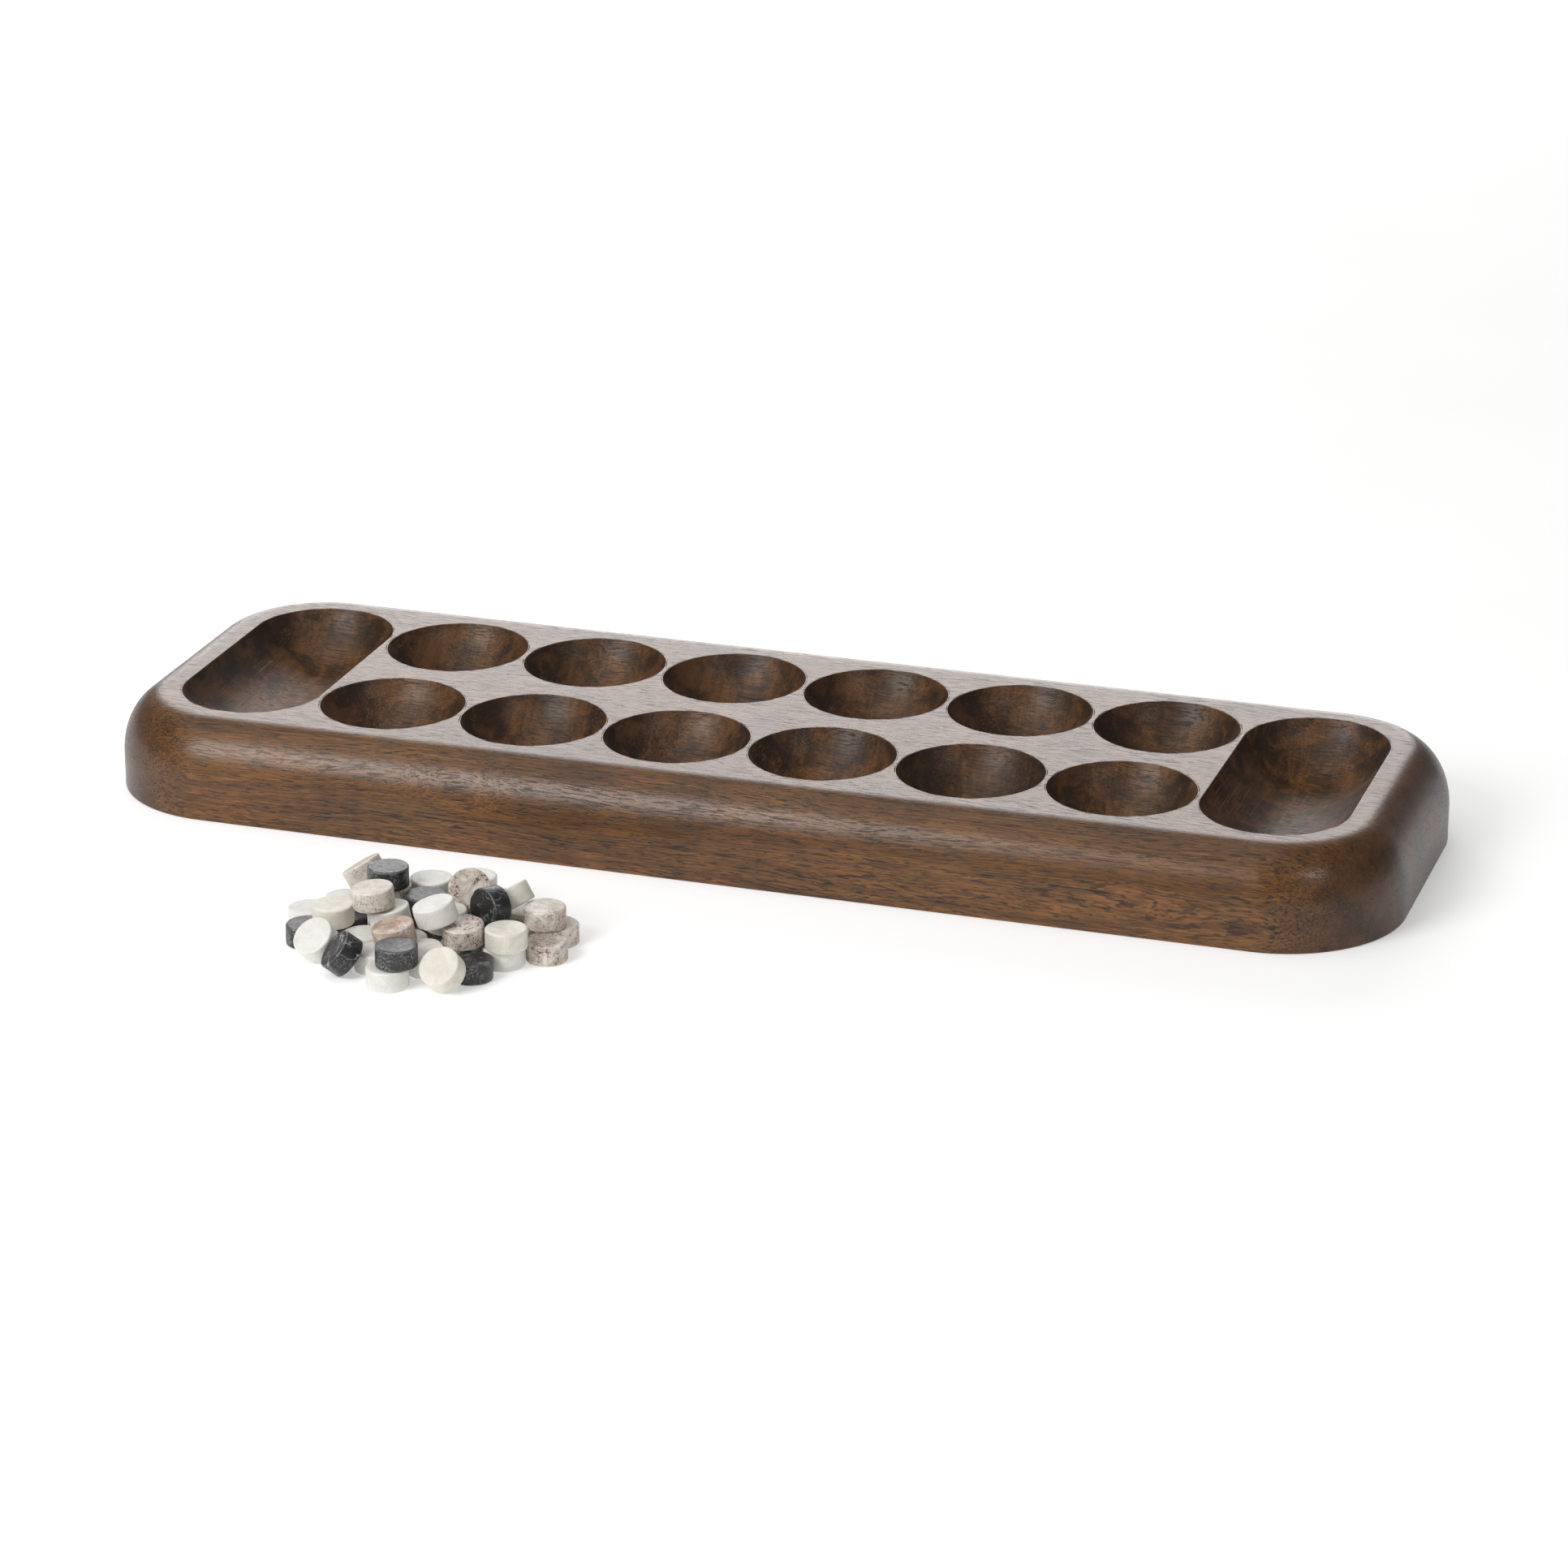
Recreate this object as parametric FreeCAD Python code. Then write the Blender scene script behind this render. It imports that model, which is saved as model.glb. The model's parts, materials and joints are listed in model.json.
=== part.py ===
"""Mancala board: a solid wooden plank with twelve pits and two stores, and its 48 loose stones.

The origin is the centre of the plank's underside, on the table.
X runs along the plank, Y from its front edge to its back edge, and Z up. Lengths are in mm.
"""
import FreeCAD
import Part
import math
import os

Vector = FreeCAD.Vector
UP = Vector(0, 0, 1)

# Plank
BOARD_LENGTH = 519.0
BOARD_WIDTH = 173.0
BOARD_HEIGHT = 38.0
CORNER_RADIUS = 49.0
ROUNDOVER_WIDTH = 17.4
ROUNDOVER_DEPTH = 24.0
BOTTOM_BREAK = 0.8

# Pits and stores: both are cut with a ball-nosed cutter, so they share one section
PIT_COLUMNS = 6
PIT_PITCH = 59.4
ROW_SPACING = 69.6
PIT_RADIUS = 28.65
PIT_DEPTH = 20.0
STORE_X = 3.5 * PIT_PITCH
BALL_RADIUS = (PIT_RADIUS ** 2 + PIT_DEPTH ** 2) / (2 * PIT_DEPTH)
BALL_HEIGHT = BOARD_HEIGHT - PIT_DEPTH + BALL_RADIUS

# Stones: short cylinders sawn from a rod, with tumbled edges
STONE_RADIUS = 7.95
STONE_THICKNESS = 7.9
STONE_EDGE = 0.8

# The heap: where a player tipped the stones out, in front of the plank.
# Each row is colour, X, Y, foot, lean and heading. Foot is the height of the stone's lowest
# point: 8 rests on one layer of stones and 16 on two. Lean is the angle from lying flat, and
# heading is the direction that the upper face leans towards, both in degrees.
HEAP_TOP = [
    ("grey", -99, -161, 16, 0, 0),
    ("beige", -95, -185, 17, 5, -170),
    ("white", -69, -189, 14.5, 15, -160),
]
HEAP_MIDDLE = [
    ("beige", -113, -150, 8, 33, 175),
    ("beige", -99, -159, 8, 0, 0),
    ("white", -87, -148, 8, 0, 0),
    ("black", -83, -164, 8, 0, 0),
    ("beige", -68.5, -157, 8, 60, -62),
    ("white", -72, -141, 8, 0, 0),
    ("black", -55, -169.5, 8, 85, -120),
    ("cream", -51.5, -157, 8, 35, 165),
    ("beige", -37, -161, 8, 0, 0),
    ("cream", -43, -185, 8, 0, 0),
    ("beige", -59, -187, 8, 5, -100),
    ("cream", -70.5, -175, 8, 0, 0),
    ("grey", -75, -212, 8, 0, 0),
    ("pink", -82, -197, 8, 10, -160),
    ("white", -90, -182, 8, 10, -170),
    ("cream", -112, -183, 8, 0, 0),
]
HEAP_OUTER = [
    ("cream", -57.5, -211.5, 0, 45, -100),
    ("white", -69.5, -199, 0, 15, -110),
    ("white", -111.5, -200, 0, 40, -110),
    ("black", -97.5, -209.5, 0, 50, -150),
    ("white", -51, -148, 0, 0, 0),
    ("beige", -33.5, -157, 0, 0, 0),
    ("beige", -32, -173, 0, 0, 0),
    ("white", -45, -183, 0, 0, 0),
    ("black", -51.5, -198, 0, 0, 0),
    ("white", -78, -214, 0, 0, 0),
    ("white", -88, -201, 0, 0, 0),
    ("white", -98, -188, 0, 0, 0),
    ("grey", -121.5, -186, 0, 0, 0),
    ("white", -127, -171, 0, 0, 0),
    ("white", -118, -157.5, 0, 0, 0),
    ("beige", -112, -138, 0, 0, 0),
    ("white", -95, -130, 0, 0, 0),
    ("white", -79, -132, 0, 0, 0),
    ("white", -64.5, -139, 0, 0, 0),
]
HEAP_INNER = [
    ("white", -61, -184, 0, 0, 0),
    ("grey", -80, -170, 0, 0, 0),
    ("black", -111, -173.5, 0, 0, 0),
    ("black", -87, -146, 0, 0, 0),
    ("white", -102, -152, 0, 0, 0),
    ("beige", -73, -154, 0, 0, 0),
    ("white", -96, -168, 0, 0, 0),
    ("white", -64, -168, 0, 0, 0),
    ("beige", -48, -164, 0, 0, 0),
    ("white", -82, -186, 0, 0, 0),
]


def edge_section(length):
    """The plank's section from an inner face, at 0, out to its edge, at length, in the XZ plane."""
    shoulder = length - ROUNDOVER_WIDTH
    side_top = BOARD_HEIGHT - ROUNDOVER_DEPTH
    centre = Vector(shoulder, 0, side_top)
    crest = Vector(shoulder, 0, BOARD_HEIGHT)
    side = Vector(length, 0, side_top)
    roundover = Part.Arc(Part.Ellipse(crest, side, centre), 0, math.pi / 2)
    side_foot = Vector(length, 0, BOTTOM_BREAK)
    bottom_edge = Vector(length - BOTTOM_BREAK, 0, 0)
    inner_bottom = Vector(0, 0, 0)
    inner_top = Vector(0, 0, BOARD_HEIGHT)
    edges = [
        roundover.toShape(),
        Part.makeLine(side, side_foot),
        Part.makeLine(side_foot, bottom_edge),
        Part.makeLine(bottom_edge, inner_bottom),
        Part.makeLine(inner_bottom, inner_top),
        Part.makeLine(inner_top, crest),
    ]
    return Part.Face(Part.Wire(Part.__sortEdges__(edges)))


def plank_blank():
    """The plank before its pits: a core, four straight edges and four quarter-round corners."""
    half_x = BOARD_LENGTH / 2 - CORNER_RADIUS
    half_y = BOARD_WIDTH / 2 - CORNER_RADIUS
    blank = Part.makeBox(2 * half_x, 2 * half_y, BOARD_HEIGHT, Vector(-half_x, -half_y, 0))
    section = edge_section(CORNER_RADIUS)
    pieces = []
    for quarter in range(4):
        turn = 90 * quarter
        across, along = (half_x, half_y) if quarter % 2 == 0 else (half_y, half_x)
        edge = section.copy()
        edge.translate(Vector(across, -along, 0))
        edge = edge.extrude(Vector(0, 2 * along, 0))
        edge.rotate(Vector(), UP, turn)
        corner = section.revolve(Vector(), UP, 90)
        corner.translate(Vector(across, along, 0))
        corner.rotate(Vector(), UP, turn)
        pieces += [edge, corner]
    return blank.fuse(pieces).removeSplitter()


def pit_cutter(x, y):
    return Part.makeSphere(BALL_RADIUS, Vector(x, y, BALL_HEIGHT))


def store_cutter(x):
    """A pit cut drawn along Y, from one row of pits to the other."""
    half = ROW_SPACING / 2
    trough = Part.makeCylinder(BALL_RADIUS, ROW_SPACING, Vector(x, -half, BALL_HEIGHT), Vector(0, 1, 0))
    return trough.fuse([pit_cutter(x, -half), pit_cutter(x, half)])


def board():
    cutters = [store_cutter(-STORE_X), store_cutter(STORE_X)]
    for column in range(PIT_COLUMNS):
        x = (column - (PIT_COLUMNS - 1) / 2) * PIT_PITCH
        for y in (-ROW_SPACING / 2, ROW_SPACING / 2):
            cutters.append(pit_cutter(x, y))
    return plank_blank().cut(cutters).removeSplitter()


def loose_stone():
    """A stone lying flat, centred on the origin."""
    start = Vector(0, 0, -STONE_THICKNESS / 2)
    rod = Part.makeCylinder(STONE_RADIUS, STONE_THICKNESS, start)
    rims = [edge for edge in rod.Edges if isinstance(edge.Curve, Part.Circle)]
    return rod.makeFillet(STONE_EDGE, rims)


def centre_height(foot, lean):
    """The height of a leaning stone's centre when its lowest point is at foot."""
    angle = math.radians(lean)
    reach = (STONE_RADIUS - STONE_EDGE) * math.sin(angle)
    drop = (STONE_THICKNESS / 2 - STONE_EDGE) * math.cos(angle)
    return foot + reach + drop + STONE_EDGE


def placed_stone(x, y, foot, lean, heading):
    stone = loose_stone()
    direction = math.radians(heading)
    tilt_axis = Vector(-math.sin(direction), math.cos(direction), 0)
    stone.rotate(Vector(), tilt_axis, lean)
    stone.translate(Vector(x, y, centre_height(foot, lean)))
    return stone


def save(shape, name):
    shape.exportStep(os.path.join("parts", name + ".step"))


os.makedirs("parts", exist_ok=True)
save(board(), "board")
heap = HEAP_TOP + HEAP_MIDDLE + HEAP_OUTER + HEAP_INNER
for number, (colour, x, y, foot, lean, heading) in enumerate(heap, start=1):
    save(placed_stone(x, y, foot, lean, heading), f"stone_{number:02d}_{colour}")
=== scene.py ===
"""The look of the mancala board: a stained, satin-lacquered plank and 48 tumbled marble stones.

Everything is in metres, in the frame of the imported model.
"""

import json
import math
import random

import bmesh
import bpy
import numpy as np
from mathutils import Matrix, Vector, geometry, noise


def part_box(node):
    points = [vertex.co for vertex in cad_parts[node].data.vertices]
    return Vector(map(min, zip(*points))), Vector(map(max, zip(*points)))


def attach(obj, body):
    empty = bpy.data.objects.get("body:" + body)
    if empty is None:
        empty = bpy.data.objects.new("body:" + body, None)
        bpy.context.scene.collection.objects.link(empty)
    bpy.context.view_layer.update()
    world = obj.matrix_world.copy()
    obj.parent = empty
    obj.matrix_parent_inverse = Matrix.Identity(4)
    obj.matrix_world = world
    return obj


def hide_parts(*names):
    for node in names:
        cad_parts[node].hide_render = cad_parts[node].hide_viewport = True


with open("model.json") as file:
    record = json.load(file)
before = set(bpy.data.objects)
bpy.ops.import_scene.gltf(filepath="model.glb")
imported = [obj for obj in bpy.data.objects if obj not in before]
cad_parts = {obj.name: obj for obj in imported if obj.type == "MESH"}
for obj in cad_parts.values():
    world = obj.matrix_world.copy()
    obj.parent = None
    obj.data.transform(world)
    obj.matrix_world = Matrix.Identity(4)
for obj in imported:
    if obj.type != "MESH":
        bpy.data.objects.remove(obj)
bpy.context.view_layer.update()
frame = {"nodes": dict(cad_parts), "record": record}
MM = 0.001

# Plank
PIT_PITCH = 59.4 * MM
ROW_OFFSET = 34.8 * MM
PIT_RADIUS = 28.65 * MM
PIT_DEPTH = 20.0 * MM
CORNER_RADIUS = 49.0 * MM
ROUNDOVER_WIDTH = 17.4 * MM
ROUNDOVER_DEPTH = 24.0 * MM
BOTTOM_BREAK = 0.8 * MM
RIM_EASE = 0.3 * MM
PIT_COLUMNS = 6
STORE_X = 3.5 * PIT_PITCH
BALL_RADIUS = (PIT_RADIUS ** 2 + PIT_DEPTH ** 2) / (2 * PIT_DEPTH)

# Steps of the plank's mesh, and the width of the flat strip that keeps a flat face's shading flat
CORNER_STEPS = 32
LONG_SIDE_STEPS = 60
SHORT_SIDE_STEPS = 12
PIT_STEPS = 120
STORE_SIDE_STEPS = 24
BREAK_STEPS = 5
SIDE_STEPS = 5
ROUNDOVER_STEPS = 28
RIM_STEPS = 5
BOWL_STEPS = 31
SUPPORT = 0.3 * MM

# Stones
STONE_RADIUS = 7.95 * MM
STONE_HALF = 3.95 * MM
STONE_EDGE = 0.8 * MM
STONE_STEPS = 64
STONE_EDGE_STEPS = 6
FACE_RINGS = (0.2, 0.45, 0.7, 0.9)
SIDE_RING_HEIGHT = 1.2 * MM

# Tumbling wears a stone by a share of its size, which varies slowly and quickly round it
WEAR = 0.014
SLOW_WEAR = 0.017
QUICK_WEAR = 0.005
SLOW_WEAR_SCALE = 130
QUICK_WEAR_SCALE = 420
CHIP_COUNTS = (1, 2, 2, 3)
CHIP_SIZES = (0.6, 1.5)
CHIP_DEPTHS = (0.02, 0.06)
# The scale of the patches of the painted highlight on the stones' rims
RIM_HIGHLIGHT_SCALE = 300
SEED_SPAN = 900


# ---------------------------------------------------------------- camera and light

CAMERA_PLACE = (0.57955, -1.75544, 0.72579)
CAMERA_YAW = 0.3175
CAMERA_PITCH = 0.3699
CAMERA_LENS = 115.4
SENSOR_WIDTH = 36
CLIP_START = 0.01
CLIP_END = 100
WORLD_STRENGTH = 0.2

# Azimuth from +Y towards +X and elevation in degrees, then distance, width, height and radiance
SOFTBOXES = {
    "key": (-152, 34, 1.7, 0.75, 0.75, 8.5),
    "top": (-110, 72, 1.7, 1.6, 1.6, 1.0),
    "side": (127, 36, 1.8, 0.3, 0.3, 10.0),
    "backdrop_glow": (-18, 18, 3.0, 2.1, 2.0, 3.1),
}


def make_camera():
    data = bpy.data.cameras.new("camera")
    data.lens = CAMERA_LENS
    data.sensor_width = SENSOR_WIDTH
    data.clip_start = CLIP_START
    data.clip_end = CLIP_END
    camera = bpy.data.objects.new("camera", data)
    camera.location = CAMERA_PLACE
    camera.rotation_euler = (math.pi / 2 - CAMERA_PITCH, 0, CAMERA_YAW)
    bpy.context.scene.collection.objects.link(camera)
    bpy.context.scene.camera = camera


def softbox(name, azimuth, elevation, distance, width, height, radiance):
    """A rectangular light that faces the plank."""
    a = math.radians(azimuth)
    e = math.radians(elevation)
    away = Vector((math.sin(a) * math.cos(e), math.cos(a) * math.cos(e), math.sin(e)))
    data = bpy.data.lights.new(name, "AREA")
    data.shape = "RECTANGLE"
    data.size = width
    data.size_y = height
    data.energy = radiance * math.pi * width * height
    light = bpy.data.objects.new(name, data)
    light.location = away * distance
    light.rotation_euler = away.to_track_quat("Z", "Y").to_euler()
    light.visible_camera = False
    bpy.context.scene.collection.objects.link(light)


def make_light():
    for name, settings in SOFTBOXES.items():
        softbox(name, *settings)
    world = bpy.data.worlds.new("studio")
    world.use_nodes = True
    background = world.node_tree.nodes["Background"]
    background.inputs["Color"].default_value = (1, 1, 1, 1)
    background.inputs["Strength"].default_value = WORLD_STRENGTH
    bpy.context.scene.world = world
    bpy.context.scene.view_settings.view_transform = "Standard"


# ---------------------------------------------------------------- shader building

# The colour sockets of Blender's Mix node
MIX_A = 6
MIX_B = 7
MIX_RESULT = 2


class Shader:
    """A node material. Values passed to its methods are numbers, colours or sockets."""

    def __init__(self, name):
        self.material = bpy.data.materials.new(name)
        self.material.use_nodes = True
        self.tree = self.material.node_tree
        self.tree.nodes.clear()

    def node(self, kind, inputs, **settings):
        made = self.tree.nodes.new("ShaderNode" + kind)
        for key, value in settings.items():
            setattr(made, key, value)
        for key, value in inputs.items():
            if isinstance(value, bpy.types.NodeSocket):
                self.tree.links.new(value, made.inputs[key])
            else:
                made.inputs[key].default_value = value
        return made

    def math(self, operation, a, b=0.0, clamp=False):
        made = self.node("Math", {0: a, 1: b}, operation=operation, use_clamp=clamp)
        return made.outputs[0]

    def product(self, a, b):
        return self.math("MULTIPLY", a, b)

    def total(self, a, b):
        return self.math("ADD", a, b)

    def vector(self, operation, a, b=(0, 0, 0), output=0):
        return self.node("VectorMath", {0: a, 1: b}, operation=operation).outputs[output]

    def attribute(self, name, output="Fac"):
        return self.node("Attribute", {}, attribute_name=name).outputs[output]

    def place_mm(self):
        """The place on the object, in millimetres."""
        place = self.node("TexCoord", {}).outputs["Object"]
        return self.vector("MULTIPLY", place, (1 / MM, 1 / MM, 1 / MM))

    def noise(self, at, stretch=(1, 1, 1), scale=1.0, detail=3.0, rough=0.5, warp=0.0, output=0):
        placed = self.vector("MULTIPLY", at, stretch)
        inputs = {"Vector": placed, "Scale": scale, "Detail": detail, "Roughness": rough,
                  "Distortion": warp}
        return self.node("TexNoise", inputs).outputs[output]

    def offsets(self, at, reach, **settings):
        """A noise vector that runs from minus to plus half of reach."""
        centred = self.vector("SUBTRACT", self.noise(at, output=1, **settings), (0.5, 0.5, 0.5))
        return self.vector("MULTIPLY", centred, reach)

    def step(self, value, low, high, to_low=0.0, to_high=1.0):
        """value eased from to_low at low to to_high at high."""
        inputs = {"Value": value, "From Min": low, "From Max": high, "To Min": to_low,
                  "To Max": to_high}
        return self.node("MapRange", inputs, interpolation_type="SMOOTHSTEP").outputs[0]

    def mix(self, share, a, b, blend="MIX"):
        made = self.node("Mix", {0: share}, data_type="RGBA", blend_type=blend)
        for socket, value in ((made.inputs[MIX_A], a), (made.inputs[MIX_B], b)):
            if isinstance(value, bpy.types.NodeSocket):
                self.tree.links.new(value, socket)
            else:
                socket.default_value = (*value, 1)
        return made.outputs[MIX_RESULT]

    def bump(self, height, distance, strength=1.0):
        inputs = {"Height": height, "Distance": distance, "Strength": strength}
        return self.node("Bump", inputs).outputs[0]

    def finish(self, **inputs):
        named = {key.replace("_", " "): value for key, value in inputs.items()}
        surface = self.node("BsdfPrincipled", named)
        out = self.node("OutputMaterial", {})
        self.tree.links.new(surface.outputs[0], out.inputs["Surface"])
        return self.material


def linear(red, green, blue):
    """A linear colour from its 8-bit sRGB values."""
    def channel(v):
        v /= 255
        return v / 12.92 if v <= 0.04045 else ((v + 0.055) / 1.055) ** 2.4
    return channel(red), channel(green), channel(blue)


# ---------------------------------------------------------------- walnut

DARK_TONE = linear(94, 61, 30)
LIGHT_TONE = linear(122, 82, 41)
FIGURE = linear(146, 94, 47)
LATE_WOOD = linear(72, 46, 24)
PALE_STREAK = linear(148, 97, 52)
DARK_STREAK = linear(56, 37, 22)
DARK_FIBRE = linear(44, 28, 16)
PALE_FIBRE = linear(158, 105, 58)
FINE_PORE = linear(28, 19, 13)
PORE = linear(18, 13, 10)
SOAKED_DARK = linear(26, 18, 13)
SOAKED_LIGHT = linear(74, 48, 28)
BOWL_PATCH = linear(156, 106, 58)
BOWL_DARK = linear(32, 24, 17)
RIPPLE = linear(24, 16, 12)
SANDING_ARC = linear(150, 104, 64)

# In millimetres: the knot near the front edge, the pith far below the plank, and the rings
WANDER = (0, 16, 16)
KNOT = (-103, -80, 26)
KNOT_STRETCH = (0.032, 0.07, 0.075)
KNOT_SWELL_Y = 6.0
KNOT_SWELL_Z = -5.0
PITH = (0, 62, -150)
RINGS_PER_MM = 0.24
RING_DRIFT = 5.0

PORE_RELIEF = 0.04 * MM
LACQUER_IOR = 1.46


def grain_place(s, mm):
    """Where a point lies in the grain, which runs along X, wanders, and swirls round a knot."""
    wander = s.offsets(mm, WANDER, stretch=(0.0055, 0.03, 0.03), detail=2)
    from_knot = s.vector("MULTIPLY", s.vector("SUBTRACT", mm, KNOT), KNOT_STRETCH)
    knot = s.step(s.vector("LENGTH", from_knot, output="Value"), 0.0, 1.0, 1.0, 0.0)
    swell = {"Y": s.product(knot, KNOT_SWELL_Y), "Z": s.product(knot, KNOT_SWELL_Z)}
    swell = s.node("CombineXYZ", swell).outputs[0]
    return s.vector("ADD", s.vector("ADD", mm, wander), swell)


def late_wood(s, grain):
    """How dark each growth ring is."""
    from_pith = s.vector("MULTIPLY", s.vector("SUBTRACT", grain, PITH), (0, 1, 1))
    distance = s.vector("LENGTH", from_pith, output="Value")
    drift = s.noise(grain, (0.004, 0.05, 0.05), detail=2)
    phase = s.total(s.product(distance, RINGS_PER_MM), s.product(drift, RING_DRIFT))
    ring_place = s.math("FRACT", phase)
    return s.product(s.step(ring_place, 0.0, 0.78), s.step(ring_place, 0.88, 1.0, 1.0, 0.0))


def bowl_colour(s, mm, bowl, colour):
    """Blotchy lighter patches and darkening, cross-grain ripples and fine sanding arcs, in the
    bowls only.
    """
    blotch = stain_blotch(s, mm)
    colour = s.mix(s.product(bowl, s.product(blotch, 0.14)), colour, BOWL_PATCH)
    # The bowls are made darker overall, least where the blotches are high
    colour = s.mix(s.product(bowl, s.step(blotch, 0.0, 1.0, 0.5, 0.0)), colour, BOWL_DARK)
    ripple = s.noise(mm, (0.4, 0.03, 0.05), detail=2, warp=0.7)
    ripple = s.product(s.step(ripple, 0.42, 0.56, 0.26, 0.0), bowl)
    colour = s.mix(ripple, colour, RIPPLE)
    arcs = s.step(s.noise(mm, (2.6, 0.02, 1.5), detail=2, rough=0.4), 0.6, 0.66)
    arc_patch = s.product(bowl, s.step(s.noise(mm, scale=0.045), 0.5, 0.62))
    return s.mix(s.product(s.product(arcs, arc_patch), 0.5), colour, SANDING_ARC)


def stain_blotch(s, mm):
    return s.step(s.noise(mm, scale=0.075, detail=6, rough=0.65, warp=0.5), 0.38, 0.62)


def plank_material():
    s = Shader("stained_walnut")
    mm = s.place_mm()
    bowl = s.attribute("bowl")
    grain = grain_place(s, mm)

    # Slow changes of tone, then streaks, fibres and pores
    tone = s.step(s.noise(grain, (0.011, 0.06, 0.06), detail=3), 0.32, 0.68)
    figure = s.step(s.noise(mm, (0.05, 0.02, 0.03), detail=2, warp=0.6), 0.4, 0.62)
    streak = s.noise(grain, (0.009, 0.8, 0.8), detail=4, rough=0.68)
    fibre = s.noise(grain, (0.05, 1.9, 1.9), detail=3, rough=0.7)
    crowd = s.step(s.noise(grain, (0.014, 0.14, 0.14), detail=2), 0.36, 0.6, 0.55, 1.0)
    pores = s.step(s.noise(grain, (0.13, 1.6, 1.6), detail=1), 0.585, 0.63)
    pores = s.product(pores, crowd)
    fine_pores = s.noise(s.vector("ADD", grain, (37, 11, 5)), (0.22, 1.9, 1.9), detail=1.5)
    fine_pores = s.step(fine_pores, 0.57, 0.65)

    colour = s.mix(tone, DARK_TONE, LIGHT_TONE)
    colour = s.mix(s.product(figure, 0.35), colour, FIGURE)
    colour = s.mix(s.product(late_wood(s, grain), 0.35), colour, LATE_WOOD)
    colour = s.mix(s.step(streak, 0.5, 0.66, 0.0, 0.42), colour, PALE_STREAK)
    colour = s.mix(s.step(streak, 0.5, 0.34, 0.0, 0.32), colour, DARK_STREAK)
    colour = s.mix(s.step(fibre, 0.34, 0.6, 0.55, 0.0), colour, DARK_FIBRE)
    colour = s.mix(s.step(fibre, 0.56, 0.74, 0.0, 0.4), colour, PALE_FIBRE)
    colour = s.mix(s.product(fine_pores, 0.6), colour, FINE_PORE)
    colour = s.mix(s.product(pores, 0.75), colour, PORE)

    # End grain drinks more stain
    normal = s.node("NewGeometry", {}).outputs["Normal"]
    facing = s.node("SeparateXYZ", {0: normal}).outputs["X"]
    end_grain = s.step(s.math("ABSOLUTE", facing), 0.12, 0.8)
    soaked = s.mix(stain_blotch(s, mm), SOAKED_DARK, SOAKED_LIGHT)
    colour = s.mix(s.product(end_grain, 0.7), colour, soaked)
    colour = bowl_colour(s, mm, bowl, colour)

    rough = s.step(fibre, 0.25, 0.7, 0.33, 0.28)
    rough = s.total(rough, s.product(pores, 0.12))
    rough = s.total(rough, s.product(bowl, 0.13))
    height = s.math("SUBTRACT", s.product(fibre, 0.5), pores)
    height = s.math("SUBTRACT", height, s.product(fine_pores, 0.6))
    relief = s.bump(height, PORE_RELIEF)
    return s.finish(Base_Color=colour, Roughness=rough, Normal=relief, IOR=LACQUER_IOR)


# ---------------------------------------------------------------- plank


def loft(bm, rings):
    """Quads between each ring of vertices and the next."""
    for low, high in zip(rings, rings[1:]):
        count = len(low)
        for i in range(count):
            j = (i + 1) % count
            bm.faces.new((low[i], low[j], high[j], high[i]))


def finish_mesh(bm, name, material):
    for face in bm.faces:
        face.smooth = True
    mesh = bpy.data.meshes.new(name)
    bm.to_mesh(mesh)
    bm.free()
    mesh.materials.append(material)
    piece = bpy.data.objects.new(name, mesh)
    bpy.context.scene.collection.objects.link(piece)
    return piece


def run(start, end, direction, steps):
    """Points of a spine between two centres, with one outward direction."""
    return [(start.lerp(end, i / steps), direction) for i in range(1, steps)]


def arc(centre, first, last, steps):
    """Points of a spine that turn about one centre, from one angle to another, in degrees."""
    angles = [math.radians(first + (last - first) * i / steps) for i in range(steps + 1)]
    return [(centre, Vector((math.cos(a), math.sin(a)))) for a in angles]


def plank_spine(half_x, half_y):
    corners = [Vector((half_x, half_y)), Vector((-half_x, half_y)), Vector((-half_x, -half_y)),
               Vector((half_x, -half_y))]
    spine = []
    for number, corner in enumerate(corners):
        after = corners[(number + 1) % 4]
        turn = arc(corner, 90 * number, 90 * (number + 1), CORNER_STEPS)
        steps = LONG_SIDE_STEPS if number % 2 == 0 else SHORT_SIDE_STEPS
        spine += turn + run(corner, after, turn[-1][1], steps)
    return spine


def pit_spine(x, y):
    return arc(Vector((x, y)), 0, 360, PIT_STEPS)[:-1]


def store_spine(x):
    back = Vector((x, ROW_OFFSET))
    front = Vector((x, -ROW_OFFSET))
    upper = arc(back, 0, 180, PIT_STEPS // 2)
    lower = arc(front, 180, 360, PIT_STEPS // 2)
    left = run(back, front, upper[-1][1], STORE_SIDE_STEPS)
    right = run(front, back, lower[-1][1], STORE_SIDE_STEPS)
    return upper + left + lower + right


def ring(bm, spine, reach, height):
    return [bm.verts.new((*(centre + direction * reach), height)) for centre, direction in spine]


def outer_profile(top):
    """The plank's edge as pairs of inset and height, from under the plank up to its flat top."""
    points = [(BOTTOM_BREAK + 3 * SUPPORT, 0.0), (BOTTOM_BREAK + SUPPORT, 0.0)]
    for step in range(BREAK_STEPS + 1):
        angle = math.pi / 2 * step / BREAK_STEPS
        inset = BOTTOM_BREAK * (1 - math.sin(angle))
        points.append((inset, BOTTOM_BREAK * (1 - math.cos(angle))))
    side_top = top - ROUNDOVER_DEPTH
    for step in range(1, SIDE_STEPS + 1):
        points.append((0.0, BOTTOM_BREAK + (side_top - BOTTOM_BREAK) * step / SIDE_STEPS))
    for step in range(1, ROUNDOVER_STEPS + 1):
        angle = math.pi / 2 * step / ROUNDOVER_STEPS
        inset = ROUNDOVER_WIDTH * (1 - math.cos(angle))
        points.append((inset, side_top + ROUNDOVER_DEPTH * math.sin(angle)))
    points.append((ROUNDOVER_WIDTH + SUPPORT, top))
    return points


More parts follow.
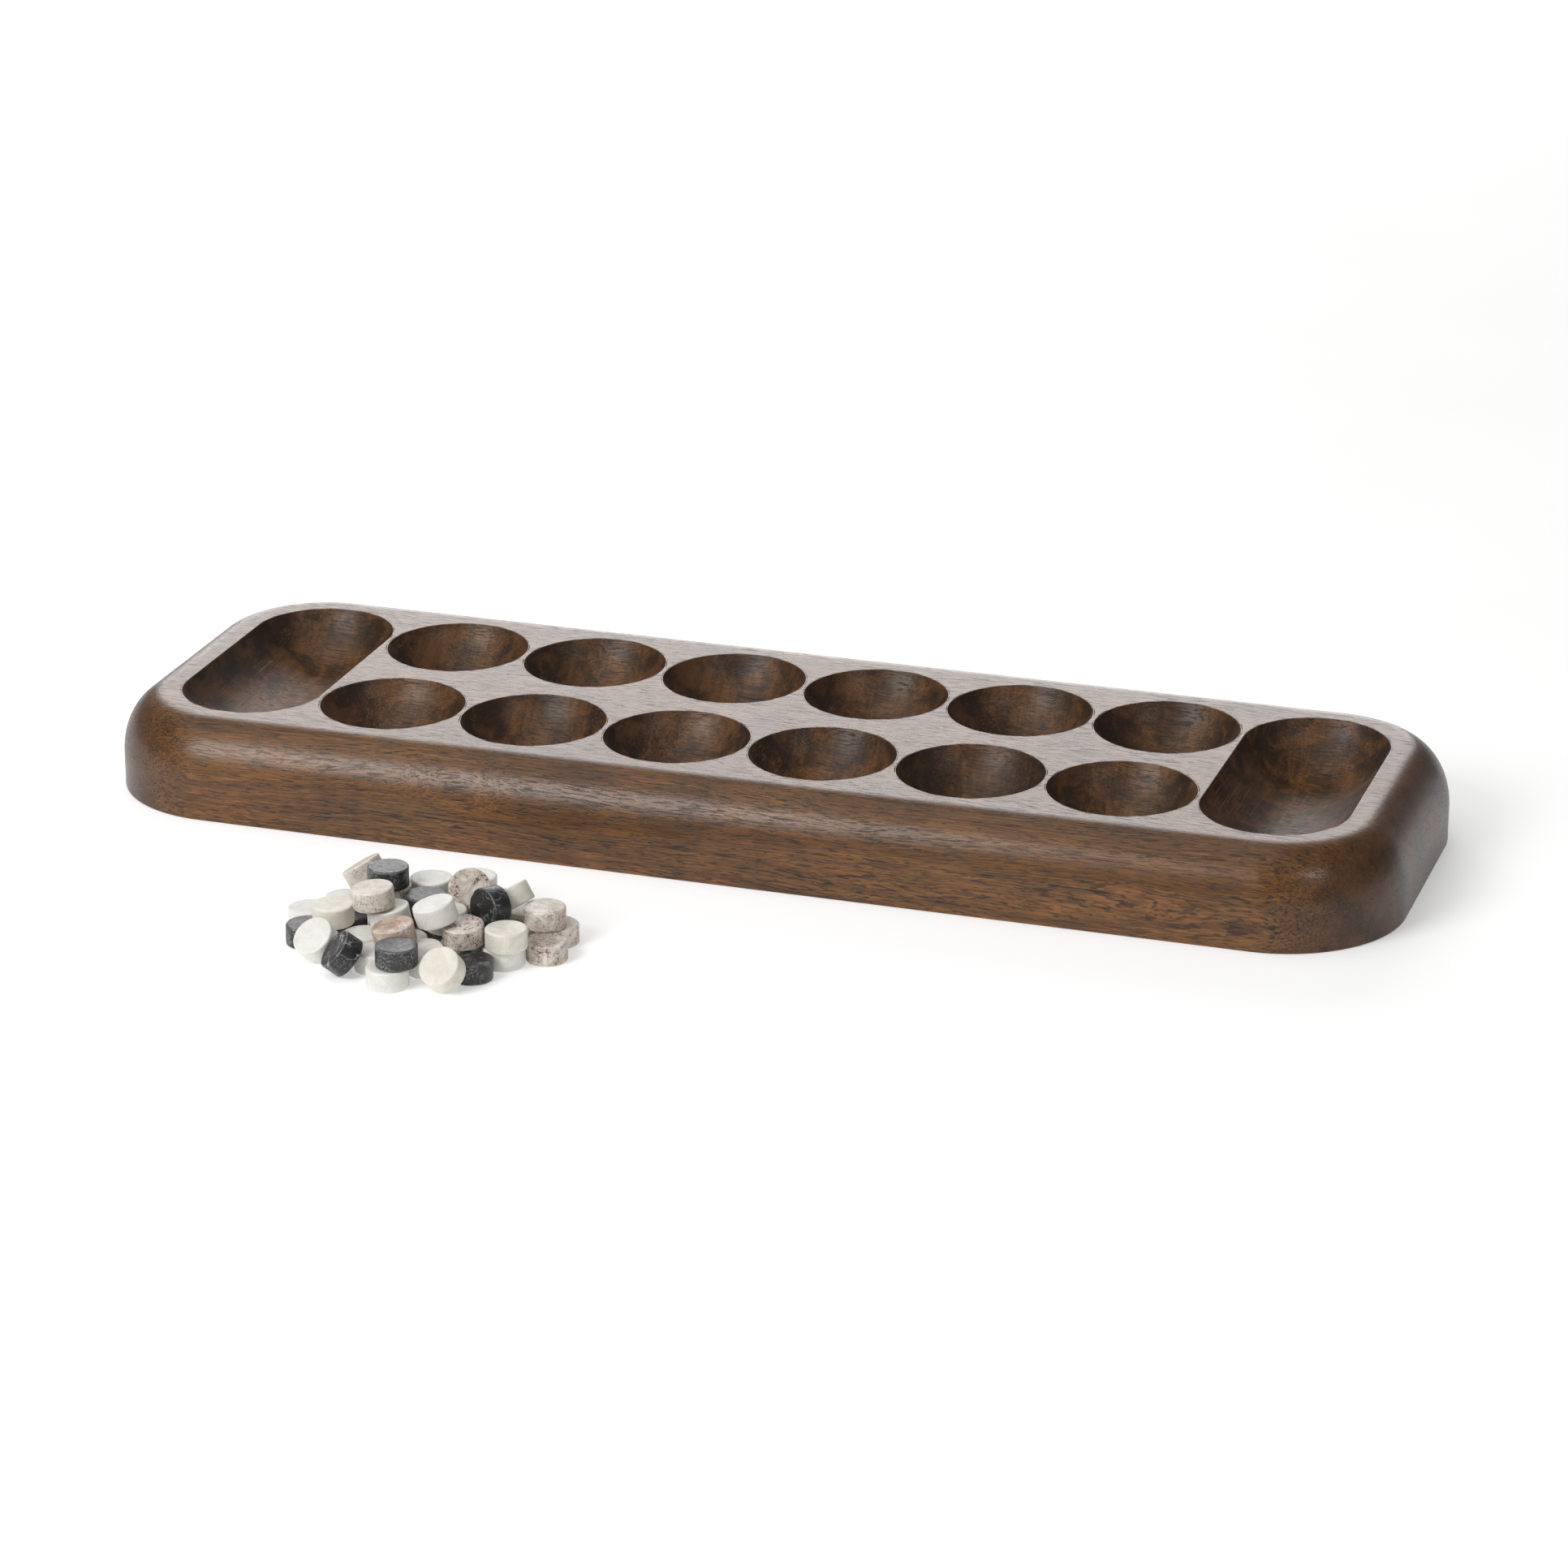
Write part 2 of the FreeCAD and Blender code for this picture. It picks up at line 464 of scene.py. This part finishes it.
def bowl_profile(top):
    """A bowl as pairs of reach and height, from the flat top, round the rim, to the floor."""
    rim = math.asin(PIT_RADIUS / BALL_RADIUS)
    centre = top - PIT_DEPTH + BALL_RADIUS
    start = rim - RIM_EASE / BALL_RADIUS
    first = Vector((PIT_RADIUS + RIM_EASE, top))
    crest = Vector((PIT_RADIUS, top))
    last = Vector((BALL_RADIUS * math.sin(start), centre - BALL_RADIUS * math.cos(start)))
    points = [(PIT_RADIUS + RIM_EASE + SUPPORT, top)]
    for step in range(RIM_STEPS + 1):
        t = step / RIM_STEPS
        point = first * (1 - t) ** 2 + crest * 2 * t * (1 - t) + last * t ** 2
        points.append(tuple(point))
    for step in range(1, BOWL_STEPS):
        angle = start * (1 - step / BOWL_STEPS)
        points.append((BALL_RADIUS * math.sin(angle), centre - BALL_RADIUS * math.cos(angle)))
    return points


def in_bowl(x, y):
    """Whether a point of the flat top's plane is inside the rim of a pit or a store."""
    column = abs(x) / PIT_PITCH
    if column > PIT_COLUMNS / 2:
        away_x = abs(x) - STORE_X
        away_y = max(abs(y) - ROW_OFFSET, 0)
    else:
        away_x = (column % 1 - 0.5) * PIT_PITCH
        away_y = abs(y) - ROW_OFFSET
    return away_x ** 2 + away_y ** 2 <= (PIT_RADIUS + RIM_EASE) ** 2


def fill_flat_top(bm, loops):
    """Triangles between the plank's outline, which is the first loop, and the rims of its bowls."""
    corners = [vertex for loop in loops for vertex in loop]
    edges = []
    for loop in loops:
        first = len(edges)
        edges += [(first + i, first + (i + 1) % len(loop)) for i in range(len(loop))]
    points = [vertex.co.xy for vertex in corners]
    inside_outline = 1
    tolerance = 1e-7
    filled = geometry.delaunay_2d_cdt(points, edges, [], inside_outline, tolerance)
    places, _, triangles, sources = filled[:4]
    for triangle in triangles:
        x, y = sum((places[i] for i in triangle), Vector((0, 0))) / 3
        if not in_bowl(x, y):
            bm.faces.new([corners[sources[i][0]] for i in triangle])


def make_plank():
    low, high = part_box("board")
    top = high.z
    bm = bmesh.new()
    bowl = bm.verts.layers.float.new("bowl")
    spine = plank_spine(high.x - CORNER_RADIUS, high.y - CORNER_RADIUS)
    profile = outer_profile(top)
    rings = [ring(bm, spine, CORNER_RADIUS - inset, height) for inset, height in profile]
    loft(bm, rings)
    bm.faces.new(reversed(rings[0]))
    loops = [rings[-1]]
    spines = [store_spine(STORE_X), store_spine(-STORE_X)]
    for column in range(PIT_COLUMNS):
        x = (column - (PIT_COLUMNS - 1) / 2) * PIT_PITCH
        spines += [pit_spine(x, ROW_OFFSET), pit_spine(x, -ROW_OFFSET)]
    for spine in spines:
        rings = [ring(bm, spine, reach, height) for reach, height in bowl_profile(top)]
        for vertex in (v for level in rings[RIM_STEPS:] for v in level):
            vertex[bowl] = 1.0
        loft(bm, rings)
        bm.faces.new(rings[-1])
        loops.append(rings[0])
    fill_flat_top(bm, loops)
    bmesh.ops.recalc_face_normals(bm, faces=bm.faces)
    plank = finish_mesh(bm, "plank", plank_material())
    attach(plank, "board")
    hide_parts("board")


# ---------------------------------------------------------------- marble

# How strongly each colour of stone usually shows its veins, specks and stain, from 0 to 1
USUAL = {
    "white": (0.15, 0.10, 0.10),
    "cream": (0.10, 0.10, 0.30),
    "beige": (0.40, 0.90, 0.30),
    "pink": (0.95, 0.60, 0.80),
    "grey": (0.10, 0.70, 0.20),
    "black": (0.35, 0.60, 0.20),
}
# The same for the stones that differ from their colour's usual, by their number
UNUSUAL = {
    2: (0.2, 0.55, 0.35),
    4: (0.15, 0.5, 0.3),
    8: (0.35, 1.0, 0.6),
    10: (0.45, 0.3, 0.1),
    12: (0.8, 0.7, 0.5),
    14: (0.5, 1.0, 0.6),
    16: (0.05, 0.6, 0.1),
    23: (1.0, 0.5, 0.5),
    26: (0.6, 0.9, 0.6),
}
# The stones whose faces are as speckled as their sides; on the others the faces are cleaner
SPECKLED_FACES = (8, 14, 17, 26, 28)
CLEAN_FACE = 0.45

# Body, cloud, vein, speck, tint and edge colours, the edge colour being a painted highlight on the
# rounded rims, then roughness and translucence
STONE_COLOURS = {
    "white": (linear(234, 233, 228), linear(218, 216, 209), linear(190, 187, 179),
              linear(176, 169, 158), linear(206, 200, 188), linear(240, 238, 233), 0.46, 0.3),
    "cream": (linear(232, 228, 217), linear(216, 211, 198), linear(188, 181, 166),
              linear(166, 153, 136), linear(202, 192, 173), linear(236, 232, 222), 0.48, 0.3),
    "beige": (linear(230, 225, 216), linear(208, 199, 188), linear(164, 144, 130),
              linear(92, 66, 52), linear(182, 157, 139), linear(236, 232, 224), 0.5, 0.15),
    "pink": (linear(206, 188, 172), linear(182, 158, 140), linear(240, 237, 232),
             linear(118, 86, 70), linear(172, 138, 118), linear(226, 214, 202), 0.48, 0.12),
    "grey": (linear(46, 46, 46), linear(32, 32, 32), linear(120, 120, 121),
             linear(146, 146, 146), linear(34, 34, 34), linear(132, 133, 135), 0.34, 0.0),
    "black": (linear(38, 38, 39), linear(27, 27, 28), linear(176, 177, 178),
              linear(126, 126, 127), linear(34, 32, 31), linear(124, 125, 127), 0.36, 0.0),
}
GLOW_COLOURS = (1.0, 0.85, 0.6)
GLOW_DEPTH = 1.5 * MM
VEIN_BEND = (14, 14, 14)
STONE_RELIEF = 0.08 * MM


def vein_lines(s, at):
    """Thin bent lines, along the zero crossings of a slow noise."""
    bent = s.vector("ADD", at, s.offsets(at, VEIN_BEND, scale=0.12, detail=4))
    ridge = s.noise(bent, (0.11, 0.17, 0.14), detail=2, rough=0.4)
    ridge = s.math("ABSOLUTE", s.math("SUBTRACT", ridge, 0.5))
    width = s.step(s.noise(at, scale=0.3), 0.3, 0.7, 0.006, 0.03)
    return s.math("SUBTRACT", 1.0, s.math("DIVIDE", ridge, width), clamp=True)


def stone_material(colour):
    """Marble of one colour. Each stone carries its own seed and strengths as attributes."""
    s = Shader("marble_" + colour)
    at = s.vector("ADD", s.place_mm(), s.attribute("seed", "Vector"))
    body, cloud, vein, speck, tint, edge, roughness, glow = STONE_COLOURS[colour]

    clouds = s.step(s.noise(at, scale=0.16, detail=5, rough=0.62, warp=0.8), 0.35, 0.65)
    made = s.mix(s.product(clouds, 0.7), body, cloud)
    tinted = s.noise(s.vector("ADD", at, (40, 0, 9)), scale=0.13, detail=4, warp=1.2)
    tinted = s.step(tinted, 0.46, 0.66)
    made = s.mix(s.product(tinted, s.attribute("stain")), made, tint)
    made = s.mix(s.product(vein_lines(s, at), s.attribute("veins")), made, vein)

    # Specks lie in patches, which have a tint of their own
    grains = s.noise(at, scale=1.1, detail=3, rough=0.7)
    patch = s.noise(s.vector("ADD", at, (5, 71, 3)), scale=0.2, detail=3)
    patch = s.product(s.attribute("specks"), s.step(patch, 0.38, 0.62))
    made = s.mix(s.product(patch, 0.5), made, tint)
    made = s.mix(s.product(s.step(grains, 0.48, 0.6), patch), made, speck)

    # Crystals are brighter or darker than what is round them, and the rounded rim is paler, a
    # painted highlight that is stronger in patches
    crystal = s.step(s.noise(at, scale=3.4, detail=2), 0.3, 0.7, 0.91, 1.09)
    crystal = s.node("CombineColor", {0: crystal, 1: crystal, 2: crystal}).outputs[0]
    made = s.mix(0.5, made, s.mix(1.0, made, crystal, "MULTIPLY"))
    made = s.mix(s.product(s.attribute("rim"), 0.55), made, edge)

    rough = s.noise(at, scale=0.7, detail=3)
    rough = s.step(rough, 0.3, 0.7, roughness - 0.06, roughness + 0.08)
    height = s.total(s.noise(at, scale=1.4, detail=4, rough=0.7), s.product(grains, 0.5))
    relief = s.bump(height, STONE_RELIEF, 0.7)
    return s.finish(Base_Color=made, Roughness=rough, Normal=relief, Subsurface_Weight=glow,
                    Subsurface_Radius=GLOW_COLOURS, Subsurface_Scale=GLOW_DEPTH)


# ---------------------------------------------------------------- stones


def stone_pose(node):
    """A stone's centre and axis, from the areas and the reach of its CAD mesh."""
    mesh = frame["nodes"][node].data
    spread = np.zeros((3, 3))
    for face in mesh.polygons:
        spread += face.area * np.outer(face.normal, face.normal)
    axes = np.linalg.eigh(spread)[1][:, ::-1]
    points = np.array([v.co for v in mesh.vertices]) @ axes
    centre = axes @ ((points.max(0) + points.min(0)) / 2)
    axis = Vector(axes[:, 0])
    return Vector(centre), axis if axis.z > 0 else -axis


def stone_profile():
    """A stone's section from its lower to its upper centre: radius, height and rim mark, which
    places the painted rim highlight.
    """
    flat = STONE_RADIUS - STONE_EDGE
    half = [(flat * share, STONE_HALF, 0.0) for share in FACE_RINGS]
    for step in range(STONE_EDGE_STEPS + 1):
        angle = math.pi / 2 * (1 - step / STONE_EDGE_STEPS)
        mark = 1.0 if 1 < step < STONE_EDGE_STEPS - 1 else 0.0
        half.append((flat + STONE_EDGE * math.cos(angle),
                     STONE_HALF - STONE_EDGE * (1 - math.sin(angle)), mark))
    half.append((STONE_RADIUS, SIDE_RING_HEIGHT, 0.0))
    return [(r, -z, mark) for r, z, mark in half] + [(r, z, mark) for r, z, mark in half[::-1]]


def draw_chips(draw):
    """Places, sizes and depths of the chips round a stone's two rims."""
    chips = []
    for _ in range(draw.choice(CHIP_COUNTS)):
        angle = draw.uniform(0, 2 * math.pi)
        place = Vector((STONE_RADIUS * math.cos(angle), STONE_RADIUS * math.sin(angle),
                        STONE_HALF * draw.choice((-1, 1))))
        chips.append((place, draw.uniform(*CHIP_SIZES) * MM, draw.uniform(*CHIP_DEPTHS)))
    return chips


def worn_share(point, seed, chips):
    """How much of a stone has been tumbled away at a point, as a share of its size."""
    slow = noise.noise(point * SLOW_WEAR_SCALE + seed)
    quick = noise.noise(point * QUICK_WEAR_SCALE + seed)
    worn = WEAR + SLOW_WEAR * slow + QUICK_WEAR * quick
    for place, size, depth in chips:
        worn += depth * math.exp(-((point - place).length / size) ** 2)
    return max(worn, 0.0)


def make_stone(node, materials):
    _, number, colour = node.split("_")
    number = int(number)
    draw = random.Random(number)
    seed = Vector([draw.uniform(0, SEED_SPAN) for _ in range(3)])
    chips = draw_chips(draw)
    bm = bmesh.new()
    marks = {name: bm.verts.layers.float.new(name) for name in ("rim", "veins", "specks", "stain")}
    seeds = bm.verts.layers.float_vector.new("seed")
    rings = []
    for radius, height, mark in stone_profile():
        level = []
        for i in range(STONE_STEPS):
            angle = 2 * math.pi * i / STONE_STEPS
            point = Vector((radius * math.cos(angle), radius * math.sin(angle), height))
            vertex = bm.verts.new(point * (1 - worn_share(point, seed, chips)))
            # The painted highlight on the rim is stronger in some patches than in others
            highlight_patch = 0.5 + noise.noise(point * RIM_HIGHLIGHT_SCALE + seed)
            vertex[marks["rim"]] = mark * (0.4 + 0.6 * highlight_patch)
            level.append(vertex)
        rings.append(level)
    loft(bm, rings)
    bm.faces.new(reversed(rings[0]))
    bm.faces.new(rings[-1])
    veins, specks, stain = UNUSUAL.get(number, USUAL[colour])
    face_share = 1.0 if number in SPECKLED_FACES else CLEAN_FACE
    for vertex in bm.verts:
        on_face = vertex.co.xy.length < STONE_RADIUS - STONE_EDGE
        vertex[seeds] = seed
        vertex[marks["veins"]] = veins
        vertex[marks["specks"]] = specks * (face_share if on_face else 1.0)
        vertex[marks["stain"]] = stain
    stone = finish_mesh(bm, f"marble_{number:02d}", materials[colour])
    centre, axis = stone_pose(node)
    spin = Matrix.Rotation(draw.uniform(0, 2 * math.pi), 4, "Z")
    lean = axis.to_track_quat("Z", "Y").to_matrix().to_4x4()
    stone.data.transform(Matrix.Translation(centre) @ lean @ spin)
    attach(stone, body_of_node[node])
    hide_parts(node)


# ---------------------------------------------------------------- floor

FLOOR_RADIUS = 5.0
FLOOR_STEPS = 96
FLOOR_TONES = ((0.87, 0.87, 0.865), (0.89, 0.89, 0.885))
FLOOR_GLOW = 0.33


def make_floor():
    """White paper, lit weakly from below like a light table."""
    bm = bmesh.new()
    bmesh.ops.create_circle(bm, cap_ends=True, segments=FLOOR_STEPS, radius=FLOOR_RADIUS)
    s = Shader("floor_paper")
    place = s.node("TexCoord", {}).outputs["Object"]
    mottle = s.step(s.noise(place, scale=6.0, detail=3), 0.3, 0.7)
    colour = s.mix(mottle, *FLOOR_TONES)
    paper = s.finish(Base_Color=colour, Roughness=0.8, Emission_Color=(1, 1, 1, 1),
                     Emission_Strength=FLOOR_GLOW)
    floor = finish_mesh(bm, "floor", paper)


body_of_node = {}
for body, nodes in frame["record"]["behaviour"]["bodies"].items():
    for node in nodes:
        body_of_node[node] = body

make_camera()
make_light()
make_floor()
make_plank()
marbles = {colour: stone_material(colour) for colour in STONE_COLOURS}
for node in sorted(frame["nodes"]):
    if node.startswith("stone_"):
        make_stone(node, marbles)
